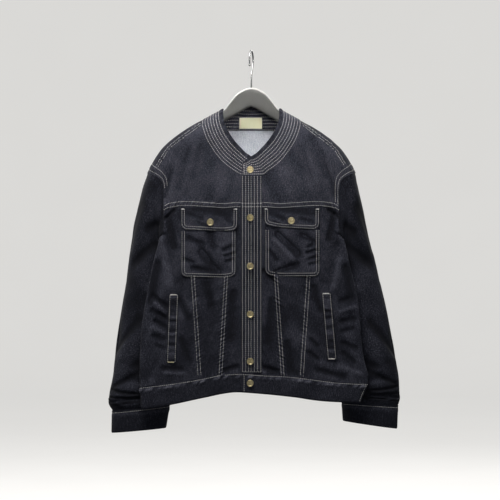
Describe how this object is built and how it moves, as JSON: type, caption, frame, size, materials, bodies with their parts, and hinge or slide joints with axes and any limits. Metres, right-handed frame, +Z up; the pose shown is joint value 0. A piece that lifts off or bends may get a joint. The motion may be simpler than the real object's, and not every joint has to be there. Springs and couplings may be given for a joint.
{
  "type": "denim jacket on its hanger",
  "caption": "A collarless dark indigo denim jacket, closed with brass snaps, on a wide grey hanger.",
  "frame": {"origin": "inside of the hook's crown, where a rail carries the hanger", "axes": "+Z up, the jacket's front faces -Y, +X is the viewer's right"},
  "size_m": [0.7043, 0.1171, 0.9228],
  "materials": {
    "denim": "dark raw indigo twill with off-white stitching",
    "brass": "antique brass, lightly worn",
    "label_cloth": "cream woven label, bare",
    "hanger_plastic": "matte grey moulded plastic",
    "hook_steel": "polished steel wire"
  },
  "bodies": {
    "root": {"sleeve_upper_left": "denim", "sleeve_upper_right": "denim", "sleeve_under_left": "denim", "sleeve_under_right": "denim", "cuff_left": "denim", "cuff_right": "denim", "neckband_front_left": "denim", "neckband_front_right": "denim", "neckband_back": "denim", "front_upper_left": "denim", "front_upper_right": "denim", "front_centre_left": "denim", "front_centre_right": "denim", "front_middle_left": "denim", "front_middle_right": "denim", "front_side_left": "denim", "front_side_right": "denim", "pocket_left": "denim", "pocket_right": "denim", "flap_left": "denim", "flap_right": "denim", "welt_left": "denim", "welt_right": "denim", "back_yoke": "denim", "back_panel": "denim", "placket": "denim", "underlap": "denim", "waistband_front_left": "denim", "waistband_front_right": "denim", "waistband_back": "denim", "snap_1": "brass", "snap_2": "brass", "snap_3": "brass", "snap_4": "brass", "snap_5": "brass", "snap_waistband": "brass", "flap_snap_left": "brass", "flap_snap_right": "brass", "neck_label": "label_cloth", "hanger_body": "hanger_plastic", "hanger_hook": "hook_steel"}
  },
  "joints": []
}
